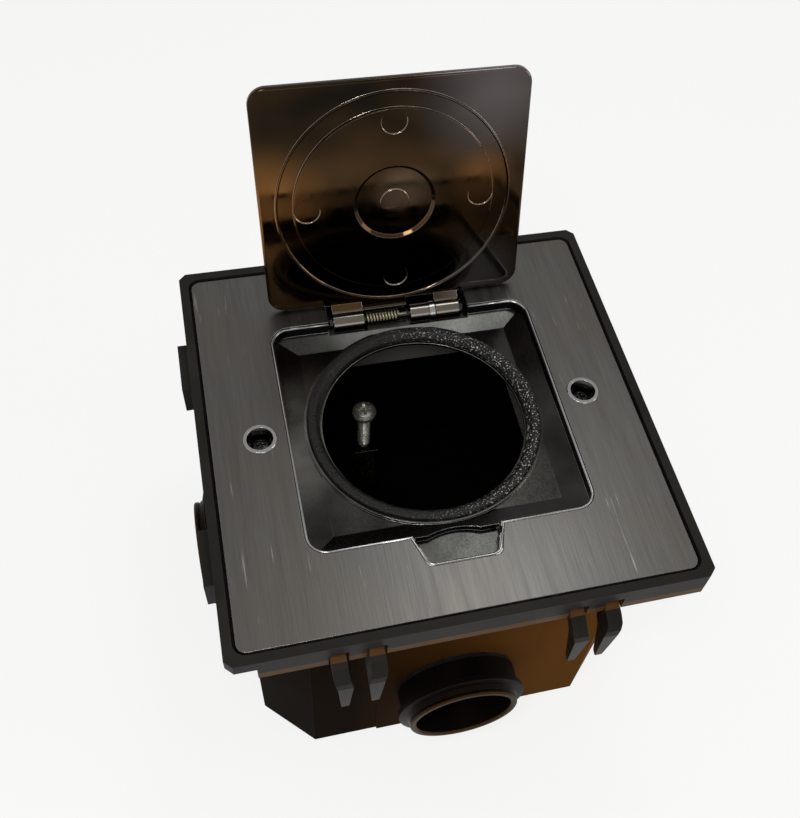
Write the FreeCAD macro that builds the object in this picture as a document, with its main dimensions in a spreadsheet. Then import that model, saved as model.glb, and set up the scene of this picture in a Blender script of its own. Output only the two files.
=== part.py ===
"""Floor socket box: a flush back box with a brushed face plate and a sprung, sealed lid.

Millimetres. +Z is up, +X to the right, and the lid hinges along the +Y side. The origin is the
middle of the box's underside. Everything is placed from the sizes below, which the sheet holds.
The lid is drawn shut and then turned about its pin to the open stop.
"""
import FreeCAD, Part
import os
import re
import math
import Sketcher
from FreeCAD import Vector, Rotation, Placement

SIZES = {
    # face plate
    "plate_side": 120.0,
    "plate_thick": 1.5,
    "plate_corner": 3.0,
    "plate_bevel": 0.4,
    "plate_top": 92.0,        # height of the plate's top face above the underside of the box
    # mounting collar around the plate
    "rim_side": 126.0,
    "rim_proud": 0.5,         # the rim stands this much above the plate
    "rim_gap": 0.5,           # joint line between plate and rim
    "rim_clip": 2.0,
    "gasket_thick": 0.5,
    "gasket_wide": 4.0,
    "collar_thick": 1.6,
    "collar_gap": 2.0,        # between the lid frame's flange and the collar's window
    "collar_gap_long": 1.5,
    "skirt_depth": 8.8,       # from the plate's top to the skirt's lower edge
    "skirt_thick": 2.0,
    "skirt_relief": 7.5,
    # linking fingers and the pockets they snap into
    "finger_wide": 4.0,
    "finger_end": 1.6,
    "finger_toe": 0.8,        # the two hooks of a pair lean together by this much
    "finger_thick": 1.8,
    "finger_pitch": 9.6,
    "finger_pair": 31.0,      # from the middle of a side to the middle of a pair
    "finger_reach": 5.2,
    "finger_knee": 12.0,
    "finger_tip": 30.0,
    "finger_slack": 0.5,
    "pocket_long": 16.0,
    "pocket_proud": 2.8,
    "pocket_depth": 14.0,
    # back box
    "box_wide": 113.0,
    "box_long": 109.0,
    "box_corner": 14.0,
    "box_wall": 2.0,
    "box_floor": 2.5,
    "pad_wide": 46.0,
    "pad_thick": 0.6,
    "base_hole": 4.5,
    "base_hole_wide": 76.0,
    "base_hole_long": 72.0,
    "base_hole_skin": 0.6,    # thin skin left over each fixing hole until it is used
    "score_deep": 0.8,
    "score_wide": 1.0,
    # conduit adapters
    "spout_up": 33.0,         # conduit axis above the underside
    "spout_bore": 28.4,
    "spout_sleeve": 32.0,
    "spout_barrel": 35.2,
    "spout_ring": 37.4,
    "spout_ring_long": 1.8,
    "spout_ring_from": 6.8,
    "spout_reach": 12.4,      # from the box wall to the mouth
    "spout_tail": 8.5,
    "spout_thread": 31.6,
    "spout_slack": 0.15,
    "seal_thick": 1.2,
    "lock_nut": 38.0,
    "lock_nut_thick": 4.0,
    # lid opening in plate and frame
    "tray_wide": 76.8,
    "tray_long": 73.4,
    "tray_corner": 5.0,
    "lip_thick": 0.8,
    "lip_drop": 0.2,
    "plate_slack": 0.1,
    "tray_wall": 3.4,         # straight part of the tray wall, from the plate's top
    "tray_floor": 4.9,        # level of the tray's flat floor, from the plate's top
    "taper_side": 6.9,        # from the tray wall to the flat floor, left and right
    "taper_end": 6.1,         # the same, front and back
    "tray_floor_thick": 2.0,
    "frame_side": 2.6,        # the frame's flange reaches this far beyond the tray
    "frame_long": 103.0,
    "frame_thick": 2.0,
    "well_wide": 64.0,
    "well_long": 70.4,
    "well_wall": 1.5,
    "well_depth": 22.0,
    # finger notch
    "notch_wide": 24.0,
    "notch_narrow": 18.0,
    "notch_long": 8.6,
    "notch_corner": 2.0,
    "notch_depth": 5.8,
    "notch_wall": 1.2,
    "notch_arc": 19.3,
    "notch_bite": 2.4,
    # ring seal
    "ring_back": 1.4,         # the seal's centre lies this far behind the plate's
    "collar_ring_wall": 0.7,
    "collar_ring_top": 4.05,
    "seal_to_hinge": 5.9,     # from the seal's outer edge to the pin axis
    "seal_wall": 3.6,
    "seal_round": 0.9,
    "seal_top": 2.95,
    "seal_seat": 6.0,
    "seal_slack": 0.1,
    "ring_lip": 0.6,
    # hinge
    "hinge_back": 40.5,       # pin axis behind the plate's centre
    "hinge_down": 4.1,        # pin axis below the plate's top
    "lid_open": 102.0,        # degrees from shut to the open stop
    "pin_wide": 2.5,
    "pin_slack": 0.05,
    "pin_head": 4.0,
    "pin_head_thick": 0.8,
    "knuckle": 6.4,
    "frame_knuckle": 6.0,
    "knuckle_left_from": -19.6,
    "knuckle_left_to": -10.4,
    "frame_knuckle_from": 4.0,
    "frame_knuckle_to": 10.0,
    "washer_thick": 1.6,
    "washer_wide": 6.6,
    "side_play": 0.3,
    "knuckle_right_to": 19.2,
    "clip_thick": 0.6,
    "clip_wide": 5.0,
    "bay_wide": 42.8,
    "bay_before": 4.9,        # from the pin axis to the bay's front and back walls
    "bay_behind": 4.6,
    "bay_depth": 8.1,
    "bay_wall": 1.2,
    "spring_wire": 0.84,
    "spring_mean": 4.3,
    "spring_turns": 10.6,
    "spring_pitch": 0.94,
    "spring_front_leg": 3.2,
    "spring_side_leg": 2.4,
    "cover_outer": 6.8,
    "cover_inner": 5.8,
    "cover_to": 3.2,
    # lid
    "lid_gap": 0.4,           # between the shut lid and the tray wall, left and right
    "lid_long": 70.4,
    "lid_thick": 2.5,
    "lid_corner": 5.0,
    "lid_round": 0.8,
    "lid_to_hinge": 5.4,      # from the shut lid's rear edge to the pin axis
    "skin_thick": 0.8,
    "skin_inset": 1.2,
    "ridge_gap": 0.4,         # the ridge closes this far outside the seal
    "ridge_wide": 0.7,
    "ridge_high": 0.6,
    "ridge_round": 0.3,
    "disc_wide": 57.4,
    "disc_high": 0.8,
    "disc_round": 0.4,
    "dish_wide": 23.2,
    "dish_deep": 0.7,
    "dish_slope": 0.8,        # run of the dish's sloping wall
    "hub_wide": 8.2,
    "hub_high": 0.25,
    "dimple_wide": 7.2,
    "dimple_deep": 0.3,
    "dimple_circle": 49.6,
    # plate screws in their cups
    "cup_gap": 1.7,           # between the lid frame's flange and a cup's tube
    "cup_wide": 9.4,
    "cup_proud": 0.25,
    "cup_tube": 7.6,
    "cup_bore": 6.2,
    "cup_depth": 5.0,
    "cup_floor": 1.0,
    "plate_screw": 3.5,
    "plate_screw_head": 5.8,
    "plate_screw_head_thick": 2.0,
    "plate_screw_long": 20.0,
    "post_wide": 10.0,
    "post_long": 26.0,
    "post_gap": 0.6,
    "insert_wide": 5.5,
    "insert_long": 8.0,
    # collar screws
    "collar_screw_gap": 3.9,  # from the frame's flange to a collar screw's head
    "collar_screw_along": 82.0,
    "collar_screw": 3.0,
    "collar_screw_head": 5.2,
    "collar_screw_long": 10.0,
    "boss_wide": 7.4,
    "boss_long": 14.0,
    # studs under the plate
    "stud": 3.0,
    "stud_long": 6.5,
    "stud_across": 68.0,
    "stud_along": 97.0,
    "stud_washer": 6.4,
    "stud_washer_thick": 0.5,
    "stud_nut_flats": 5.5,
    "stud_nut_thick": 2.4,
    # earth terminal
    "earth_left": 10.5,
    "earth_back": 34.8,
    "earth_post": 8.0,
    "earth_post_up": 28.0,
    "earth_screw": 4.0,
    "earth_screw_head": 8.0,
    "earth_screw_head_thick": 2.6,
    "earth_screw_stand": 18.0,
    "earth_screw_grip": 10.0,
    "earth_washer": 8.6,
    "earth_washer_thick": 0.8,
    "recess_wide": 0.9,
    "hole_slack": 0.2,
}

doc = FreeCAD.newDocument("FloorSocketBox")
sheet = doc.addObject("Spreadsheet::Sheet", "Dims")
for row, (alias, size) in enumerate(SIZES.items(), start=1):
    sheet.set("A%d" % row, alias)
    sheet.set("B%d" % row, str(size))
    sheet.setAlias("B%d" % row, alias)
doc.recompute()

X, Y, Z = Vector(1, 0, 0), Vector(0, 1, 0), Vector(0, 0, 1)
ALONG = {"X": Rotation(Y, 90), "Y": Rotation(X, -90), "Z": Rotation()}
NODES = []


def linked(text):
    """Names of sizes in an expression, turned into references to the sheet."""
    return re.sub(r"[a-z_]+[a-z_0-9]*",
                  lambda m: "Dims." + m.group() if m.group() in SIZES else m.group(),
                  str(text))


def bind(thing, **sizes):
    for prop, text in sizes.items():
        thing.setExpression(prop.replace("__", "."), linked(text))


def place(thing, at, turn=None):
    if turn is not None:
        thing.Placement = Placement(Vector(), turn)
    for axis, text in zip("xyz", at):
        thing.setExpression("Placement.Base." + axis, linked(text))
    return thing


def box(name, low, size):
    """Box from its low corner, every size an expression."""
    thing = doc.addObject("Part::Box", name)
    bind(thing, Length=size[0], Width=size[1], Height=size[2])
    return place(thing, low)


def middle_box(name, wide, long, low, high, x="0", y="0"):
    """Box centred on x and y, between two levels."""
    corner = ("%s - (%s)/2" % (x, wide), "%s - (%s)/2" % (y, long), low)
    return box(name, corner, (wide, long, "%s - (%s)" % (high, low)))


def rod(name, wide, long, at, along="Z"):
    """Cylinder of diameter wide, from at along an axis."""
    thing = doc.addObject("Part::Cylinder", name)
    bind(thing, Radius="(%s)/2" % wide, Height=long)
    return place(thing, at, ALONG[along])


def cut(name, base, *tools):
    thing = doc.addObject("Part::Cut", name)
    thing.Base = base
    thing.Tool = tools[0] if len(tools) == 1 else join(name + "_tools", *tools)
    return thing


def join(name, *parts):
    thing = doc.addObject("Part::MultiFuse", name)
    thing.Shapes = list(parts)
    return thing


def overlap(name, *parts):
    thing = doc.addObject("Part::MultiCommon", name)
    thing.Shapes = list(parts)
    return thing


def clean(name, thing):
    whole = doc.addObject("Part::Refine", name)
    whole.Source = thing
    return whole


def edges_where(thing, test):
    """Numbers of the edges of a computed shape that pass a test on their bounding box."""
    doc.recompute()
    return [n for n, edge in enumerate(thing.Shape.Edges, start=1) if test(edge.BoundBox)]


def soften(name, thing, radius, test, kind="Part::Fillet"):
    """Fillet, or chamfer, of the edges that pass the test."""
    picked = edges_where(thing, test)
    soft = doc.addObject(kind, name)
    soft.Base = thing
    soft.Edges = [(n, radius, radius) for n in picked]
    return soft


def upright(b):
    return b.XLength < 1e-4 and b.YLength < 1e-4 and b.ZLength > 1e-4


def level(z):
    return lambda b: b.ZLength < 1e-4 and abs(b.ZMin - z) < 1e-4


def rounded_box(name, wide, long, low, high, radius, x="0", y="0"):
    return soften(name, middle_box(name + "_block", wide, long, low, high, x, y), radius, upright)


def outline(body, name, plane, points, level_text=None):
    """Closed outline on one of a body's own planes; every corner is bound to expressions."""
    flat = [f for f in body.Origin.OriginFeatures if f.Role == plane][0]
    sketch = body.newObject("Sketcher::SketchObject", name)
    sketch.AttachmentSupport = (flat, [""])
    sketch.MapMode = "FlatFace"
    if level_text is not None:
        sketch.setExpression("AttachmentOffset.Base.z", linked(level_text))
    count = len(points)
    turn = [2 * math.pi * n / count for n in range(count)]
    start = [Vector(50 + 10 * math.cos(a + 0.1), 10 * math.sin(a + 0.1), 0) for a in turn]
    for n in range(count):
        sketch.addGeometry(Part.LineSegment(start[n], start[(n + 1) % count]), False)
    for n in range(count):
        sketch.addConstraint(Sketcher.Constraint("Coincident", n, 2, (n + 1) % count, 1))
    for n, (across, up) in enumerate(points):
        for kind, text, now in (("DistanceX", across, start[n].x), ("DistanceY", up, start[n].y)):
            number = sketch.addConstraint(Sketcher.Constraint(kind, n, 1, now))
            sketch.setExpression("Constraints[%d]" % number, linked(text))
    return sketch


def spun(label, points, at=("0", "0", "0"), turn=None):
    """Body turned about its own Z from a half profile of (radius, height) corners."""
    body = doc.addObject("PartDesign::Body", label + "_body")
    sketch = outline(body, label + "_profile", "XZ_Plane", points)
    doc.recompute()
    turned = body.newObject("PartDesign::Revolution", label + "_turned")
    turned.Profile = sketch
    turned.ReferenceAxis = (sketch, ["V_Axis"])
    turned.Angle = 360
    body.Tip = turned
    return place(body, at, turn)


def raised(label, points, low, high):
    """Body padded from an outline in plan, between two levels."""
    body = doc.addObject("PartDesign::Body", label + "_body")
    sketch = outline(body, label + "_plan", "XY_Plane", points, low)
    padded = body.newObject("PartDesign::Pad", label + "_pad")
    padded.Profile = sketch
    bind(padded, Length="%s - (%s)" % (high, low))
    body.Tip = padded
    return body


def node(label, thing, material):
    """The finished sub-part that goes to a file of its own."""
    thing.Label = label
    NODES.append((label, thing, material))
    return thing


S = SIZES
TOP = "plate_top"
UNDER_PLATE = "plate_top - plate_thick"
LEDGE = "plate_top - plate_thick - gasket_thick"
FLANGE = "plate_top - plate_thick - gasket_thick - collar_thick"
FRAME_UNDER = "plate_top - plate_thick - frame_thick"
POST_TOP = "plate_top - cup_depth - cup_floor - post_gap"
PIN = ("0", "hinge_back", "plate_top - hinge_down")
FRAME_WIDE = "(tray_wide + 2*frame_side)"
SCREW_ACROSS = "(%s + 2*cup_gap + cup_tube)" % FRAME_WIDE
COLLAR_ACROSS = "(%s + 2*collar_screw_gap + collar_screw_head)" % FRAME_WIDE
SEAL_OUTER = "(2*(hinge_back - ring_back - seal_to_hinge))"
SEAL_INNER = "(%s - 2*seal_wall)" % SEAL_OUTER
BAY_FRONT = "(hinge_back - bay_before)"
BAY_BACK = "(hinge_back + bay_behind)"
LID_BACK = "(hinge_back - lid_to_hinge)"
LID_WIDE = "(tray_wide - 2*lid_gap)"
RIDGE = "(%s + 2*ridge_gap)" % SEAL_OUTER
pin_centre = Vector(0, S["hinge_back"], S["plate_top"] - S["hinge_down"])
OPENED = Placement(Vector(), Rotation(X, -S["lid_open"]), pin_centre)


def hex_nut(name, flats, thick, bore, at):
    """Hexagon nut about Z, standing on at."""
    block = doc.addObject("Part::Prism", name + "_hex")
    block.Polygon = 6
    bind(block, Circumradius="(%s) / sqrt(3)" % flats, Height=thick)
    place(block, at)
    return cut(name, block, rod(name + "_bore", bore, thick, at))


def cross_recess(name, wide, deep, at):
    """Cross-shaped driver recess, to be cut from a screw head whose top is at at."""
    x, y, z = at
    arms = [middle_box(name + "_a", wide, "recess_wide", "%s - (%s)" % (z, deep), "%s + 1" % z, x, y),
            middle_box(name + "_b", "recess_wide", wide, "%s - (%s)" % (z, deep), "%s + 1" % z, x, y)]
    return join(name, *arms)


def pan_screw(label, shank, head, thick, long, at):
    """Pan-head screw about Z, seated at at: the head stands above, the shank hangs below."""
    x, y, z = at
    profile = [("0", "-(%s)" % long), ("%s/2 - 0.4" % shank, "-(%s)" % long),
               ("%s/2" % shank, "0.5 - (%s)" % long), ("%s/2" % shank, "0"), ("%s/2" % head, "0"),
               ("%s/2" % head, "0.45*(%s)" % thick), ("0.38*(%s)" % head, "0.85*(%s)" % thick),
               ("0.2*(%s)" % head, thick), ("0", thick)]
    solid = spun(label, profile, at)
    recess = cross_recess(label + "_cross", "0.55*(%s)" % head, "0.55*(%s)" % thick,
                          (x, y, "%s + %s" % (z, thick)))
    return cut(label + "_driven", solid, recess)


def trapezium(grow):
    """Corners of the finger notch in plan, grown by a margin, from inside the tray outwards."""
    front = "tray_long/2"
    rim = "notch_wide/2 + %s" % grow
    end = "notch_narrow/2 + %s" % grow
    return [("-(%s)" % rim, "-%s + 1" % front), ("-(%s)" % rim, "-%s" % front),
            ("-(%s)" % end, "-(%s + notch_long + %s)" % (front, grow)),
            (end, "-(%s + notch_long + %s)" % (front, grow)),
            (rim, "-%s" % front), (rim, "-%s + 1" % front)]


def notch_block(label, grow, low, high):
    body = raised(label, trapezium(grow), low, high)
    reach = S["tray_long"] / 2 + S["notch_long"] / 2
    return soften(label + "_round", body, S["notch_corner"], lambda b: upright(b) and b.YMax < -reach)


def plate_screw_places():
    return (("-%s/2" % SCREW_ACROSS, "0"), ("%s/2" % SCREW_ACROSS, "0"))


def corners(across, along):
    """The four corners of a rectangle of hole centres."""
    return [("%s(%s)/2" % (sx, across), "%s(%s)/2" % (sy, along)) for sx in ("-", "") for sy in ("-", "")]


def rods(name, wide, places, low, high):
    return [rod("%s_%d" % (name, n), wide, "%s - (%s)" % (high, low), (x, y, low))
            for n, (x, y) in enumerate(places, start=1)]


# ---- face plate: brushed sheet with the lid opening, hinge slot, finger notch and cup holes

def face_plate():
    blank = rounded_box("plate_blank", "plate_side", "plate_side", UNDER_PLATE, TOP, S["plate_corner"])
    bevelled = soften("plate_bevelled", blank, S["plate_bevel"], level(S["plate_top"]), "Part::Chamfer")
    grow = "lip_thick + plate_slack"
    opening = rounded_box("plate_opening", "tray_wide + 2*(%s)" % grow, "tray_long + 2*(%s)" % grow,
                          UNDER_PLATE + " - 1", TOP + " + 1",
                          S["tray_corner"] + S["lip_thick"] + S["plate_slack"])
    slot = middle_box("plate_hinge_slot", "bay_wide", "bay_before + bay_behind", UNDER_PLATE + " - 1",
                      TOP + " + 1", y="(%s + %s)/2" % (BAY_BACK, BAY_FRONT))
    notch = notch_block("plate_notch", grow, UNDER_PLATE + " - 1", TOP + " + 1")
    holes = rods("plate_hole", "cup_tube + hole_slack", plate_screw_places(), UNDER_PLATE + " - 1",
                 TOP + " + 1")
    node("face_plate", clean("plate_cut", cut("plate_pierced", bevelled, opening, slot, notch, *holes)),
         "plate")


# ---- mounting collar: rim, skirt, linking fingers and pockets

def finger(number, half, side, sign):
    """Sprung hook that hangs behind the skirt, comes out through its slot and tapers to a point."""
    name = "finger_%d" % number
    side_face = "rim_side/2"
    root = side_face + " - skirt_thick - 0.4"
    back = root + " - finger_thick"
    nose = side_face + " + finger_reach"
    top, knee, tip = FLANGE + " + 0.4", "plate_top - finger_knee", "plate_top - finger_tip"
    side_view = [(back, top), (back, knee + " + 3.6"), (root + " - 0.4", knee),
                 (side_face + " + 0.6", knee + " - 3.6"), (side_face + " + 1.4", knee + " - 9"),
                 (nose + " - 2.6", tip + " + 0.6"), (nose + " - 1.7", tip),
                 (nose + " - 1.0", tip + " + 0.8"), (nose + " - 0.3", knee + " - 7"),
                 (nose, knee + " - 2"), (nose + " - 0.3", knee + " + 0.2"),
                 (nose + " - 1.4", knee + " + 2.2"), (nose + " - 3.2", knee + " + 3.6"),
                 (root, knee + " + 5.4"), (root, top)]
    lean = "%sfinger_toe" % ("" if half == "-" else "-")
    right = [("finger_wide/2", top), ("finger_wide/2", knee + " + 2"),
             (lean + " + finger_wide/2", knee + " - 2"), (lean + " + finger_end/2 + 0.3", tip + " + 2"),
             (lean + " + finger_end/2", tip)]
    left = [("-finger_wide/2", top), ("-finger_wide/2", knee + " + 2"),
            (lean + " - finger_wide/2", knee + " - 2"), (lean + " - finger_end/2 - 0.3", tip + " + 2"),
            (lean + " - finger_end/2", tip)]
    front_view = left + right[::-1]
    views = []
    for view, plane, points, long in (("side", "XZ_Plane", side_view, "2*finger_wide"),
                                      ("front", "YZ_Plane", front_view, "rim_side")):
        body = doc.addObject("PartDesign::Body", "%s_%s_body" % (name, view))
        sketch = outline(body, "%s_%s" % (name, view), plane, points)
        padded = body.newObject("PartDesign::Pad", "%s_%s_pad" % (name, view))
        padded.Profile = sketch
        bind(padded, Length=long)
        if view == "side":
            padded.Midplane = True
        body.Tip = padded
        views.append(body)
    hook = overlap(name, *views)
    along = "%sfinger_pair %s finger_pitch/2" % (sign, half)
    if side == "front":
        return place(hook, (along, "0", "0"), Rotation(Z, -90))
    return place(hook, ("0", along, "0"))


def pocket(name, side, along):
    """Block with two slots, on the far side from the hooks, that takes the next box's pair."""
    slot = "finger_wide + 2*finger_slack"
    low = "plate_top - pocket_depth"
    across = "%s(rim_side/2 + pocket_proud/2)" % ("-" if side == "left" else "")
    inner = "%s(rim_side/2 - skirt_thick/2)" % ("-" if side == "left" else "")

    def block(part, deep, long, low_end, high_end, out, at):
        if side == "left":
            return middle_box(name + part, deep, long, low_end, high_end, out, at)
        return middle_box(name + part, long, deep, low_end, high_end, at, out)

    solid = join(name + "_solid", block("_outer", "pocket_proud", "pocket_long", low, FLANGE, across,
                                        along),
                 block("_inner", "skirt_thick", "pocket_long", low, FLANGE, inner, along))
    slots = [block("_slot_%d" % n, "1.6", slot, low + " - 1", "plate_top - skirt_depth", across,
                   "%s %s finger_pitch/2" % (along, half)) for n, half in enumerate("-+")]
    return cut(name, solid, *slots)


def mounting_collar():
    low = "plate_top - skirt_depth"
    high = TOP + " + rim_proud"
    outer = middle_box("collar_block", "rim_side", "rim_side", low, high)
    clipped = soften("collar_clipped", outer, S["rim_clip"], upright, "Part::Chamfer")
    seat = rounded_box("collar_seat", "plate_side + 2*rim_gap", "plate_side + 2*rim_gap", LEDGE,
                       high + " + 1", S["plate_corner"] + S["rim_gap"])
    hollow = middle_box("collar_hollow", "rim_side - 2*skirt_thick", "rim_side - 2*skirt_thick",
                        low + " - 1", FLANGE)
    window = rounded_box("collar_window", FRAME_WIDE + " + 2*collar_gap",
                         "frame_long + 2*collar_gap_long", low,
                         high + " + 1", S["tray_corner"])
    taken = [seat, hollow, window]
    for name, centre in (("front", "-(rim_side/2)"), ("back", "rim_side/2")):   # relieved corners
        taken.append(middle_box("collar_relief_" + name, "2*skirt_relief", "2*skirt_relief",
                                low + " - 1", FLANGE,
                                centre, centre))
    hooks, pockets = [], []
    slot = "finger_wide + 2*finger_slack"
    edge = "rim_side/2 - skirt_thick/2"
    places = [(sign, half) for sign in ("-", "") for half in "-+"]
    for number, (sign, half) in enumerate(places):
        along = "%sfinger_pair %s finger_pitch/2" % (sign, half)
        taken.append(middle_box("collar_slot_front_%d" % number, slot, "skirt_thick + 2", low + " - 1",
                                LEDGE + " - collar_thick", along, "-(%s)" % edge))
        taken.append(middle_box("collar_slot_right_%d" % number, "skirt_thick + 2", slot, low + " - 1",
                                LEDGE + " - collar_thick", edge, along))
        hooks.append(finger(2 * number, half, "front", sign))
        hooks.append(finger(2 * number + 1, half, "right", sign))
    for number, sign in enumerate(("-", "")):
        for side in ("left", "back"):
            pockets.append(pocket("pocket_%s_%d" % (side, number), side, "%sfinger_pair" % sign))
    screws = corners(COLLAR_ACROSS, "collar_screw_along")
    taken += rods("collar_screw_hole", "collar_screw + hole_slack", screws, low, high)
    taken += rods("collar_sink", "collar_screw_head + 2*hole_slack", screws, LEDGE + " - 1.1", high)
    taken += rods("collar_cup_hole", "cup_tube + 4*hole_slack", plate_screw_places(), low, high)
    shell = cut("collar_shell", clipped, *taken)
    node("mounting_collar", clean("collar_whole", join("collar_join", shell, *hooks, *pockets)), "collar")


def plate_gasket():
    high = UNDER_PLATE
    outer = rounded_box("gasket_outer", "plate_side", "plate_side", LEDGE, high, S["plate_corner"])
    inner = rounded_box("gasket_inner", "plate_side - 2*gasket_wide", "plate_side - 2*gasket_wide",
                        LEDGE + " - 1", high + " + 1", S["plate_corner"])
    node("plate_gasket", cut("gasket_cut", outer, inner), "rubber")


def collar_screws():
    """Flat screws that hold the collar to the box; their heads lie below the ledge."""
    screws = []
    for number, (x, y) in enumerate(corners(COLLAR_ACROSS, "collar_screw_along")):
        name = "collar_screw_%d" % number
        head_low = LEDGE + " - 1.1"
        head = rod(name + "_head", "collar_screw_head", "1.0", (x, y, head_low))
        shank = rod(name + "_shank", "collar_screw", "collar_screw_long + 0.1",
                    (x, y, "%s - collar_screw_long" % head_low))
        recess = cross_recess(name + "_cross", "0.5*collar_screw_head", "0.5",
                              (x, y, head_low + " + 1.0"))
        screws.append(cut(name, join(name + "_solid", head, shank), recess))
    node("collar_screws", join("collar_screws_all", *screws), "zinc")


# ---- back box: deep moulded box with cut corners, wall pads, posts, bosses and knockouts

def box_outline(name, inset, low, high):
    block = middle_box(name + "_block", "box_wide - 2*(%s)" % inset, "box_long - 2*(%s)" % inset, low,
                       high)
    corner = S["box_corner"] - (2 - math.sqrt(2)) * (S["box_wall"] if inset != "0" else 0)
    return soften(name, block, corner, upright, "Part::Chamfer")


def score_ring(name, wide, at, along):
    """Thin round groove that marks a knockout, cut into a pad from its outer face."""
    outer = rod(name + "_outer", "%s + score_wide" % wide, "2*score_deep", at, along)
    inner = rod(name + "_inner", "%s - score_wide" % wide, "2*score_deep", at, along)
    return cut(name, outer, inner)


def back_box():
    outer = box_outline("box_outer", "0", "0", FLANGE)
    inner = box_outline("box_inner", "box_wall", "box_floor", FLANGE + " + 1")
    pads = []
    for side, sign in (("front", "-"), ("back", "")):
        centre = "%s(box_long/2 - box_wall/2 + pad_thick/2)" % sign
        pads.append(middle_box("pad_" + side, "pad_wide", "box_wall + pad_thick", "0", FLANGE, y=centre))
    for side, sign in (("left", "-"), ("right", "")):
        centre = "%s(box_wide/2 - box_wall/2 + pad_thick/2)" % sign
        pads.append(middle_box("pad_" + side, "box_wall + pad_thick", "pad_wide", "0", FLANGE, x=centre))
    posts, bores = [], []
    post_low = POST_TOP + " - post_long"
    for number, (x, y) in enumerate(plate_screw_places()):
        name = "post_%d" % number
        sign = "-" if number == 0 else ""
        posts.append(rod(name, "post_wide", "post_long", (x, y, post_low)))
        web = "box_wide/2 - box_wall/2 - %s/2" % SCREW_ACROSS
        posts.append(middle_box(name + "_web", web, "post_wide*0.6", post_low, POST_TOP,
                                "%s(%s/2 + (%s)/2)" % (sign, SCREW_ACROSS, web)))
        bores.append(rod(name + "_seat", "insert_wide", "insert_long + 1",
                         (x, y, POST_TOP + " - insert_long")))
        bores.append(rod(name + "_core", "plate_screw + 2*hole_slack", "plate_screw_long",
                         (x, y, POST_TOP + " - plate_screw_long")))
    for number, (x, y) in enumerate(corners(COLLAR_ACROSS, "collar_screw_along")):
        name = "boss_%d" % number
        posts.append(rod(name, "boss_wide", "boss_long", (x, y, FLANGE + " - boss_long")))
        root = middle_box(name + "_root", "boss_wide", "boss_wide", FLANGE + " - boss_long", FLANGE,
                          x.replace(")/2", " + boss_wide/2)/2"), y.replace(")/2", " + boss_wide/2)/2"))
        posts.append(root)
        bores.append(rod(name + "_core", "collar_screw", "collar_screw_long",
                         (x, y, FLANGE + " - collar_screw_long")))
    solid = overlap("box_posts", join("box_posts_all", *posts),
                    box_outline("box_limit", "0", "0", FLANGE))
    shell = cut("box_shell", outer, inner)
    earth = rod("earth_socket", "earth_post + 2*box_wall", "2*box_wall",
                ("-earth_left", "earth_back", "box_floor - 0.5"))
    hole = "spout_thread + 2*spout_slack"
    bores.append(rod("hole_front", hole, "4*box_wall", ("0", "-(box_long/2 + 2*box_wall)", "spout_up"),
                     "Y"))
    bores.append(rod("hole_left", hole, "4*box_wall", ("-(box_wide/2 + 2*box_wall)", "0", "spout_up"),
                     "X"))
    bores.append(rod("earth_seat", "earth_post", "4*box_wall",
                     ("-earth_left", "earth_back", "box_floor")))
    for number, (x, y) in enumerate(corners("base_hole_wide", "base_hole_long")):
        bores.append(rod("base_hole_%d" % number, "base_hole", "box_floor - base_hole_skin + 1",
                         (x, y, "-1")))
    rings = [score_ring("score_right", "spout_thread",
                        ("box_wide/2 + pad_thick - score_deep", "0", "spout_up"), "X"),
             score_ring("score_back", "spout_thread",
                        ("0", "box_long/2 + pad_thick - score_deep", "spout_up"), "Y")]
    whole = join("box_join", shell, *pads, solid, earth)
    node("back_box", clean("box_whole", cut("box_cut", whole, *bores, *rings)), "box")


# ---- chrome lid frame: tray, seal seat, well, finger notch and hinge bay in one casting

def tapered_tray(name):
    """Cavity that narrows from the tray wall down to the flat floor."""
    body = doc.addObject("PartDesign::Body", name + "_body")
    ends = []
    for end, in_side, in_end, depth in (("mouth", "0", "0", "tray_wall"),
                                        ("flat", "taper_side", "taper_end", "tray_floor")):
        side = "(tray_wide/2 - %s)" % in_side
        front = "(tray_long/2 - %s)" % in_end
        points = [("-" + side, "-" + front), (side, "-" + front), (side, front), ("-" + side, front)]
        ends.append(outline(body, "%s_%s" % (name, end), "XY_Plane", points, "plate_top - %s" % depth))
    doc.recompute()
    loft = body.newObject("PartDesign::AdditiveLoft", name + "_loft")
    loft.Profile = ends[0]
    loft.Sections = [ends[1]]
    loft.Ruled = True
    body.Tip = loft
    return body


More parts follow.
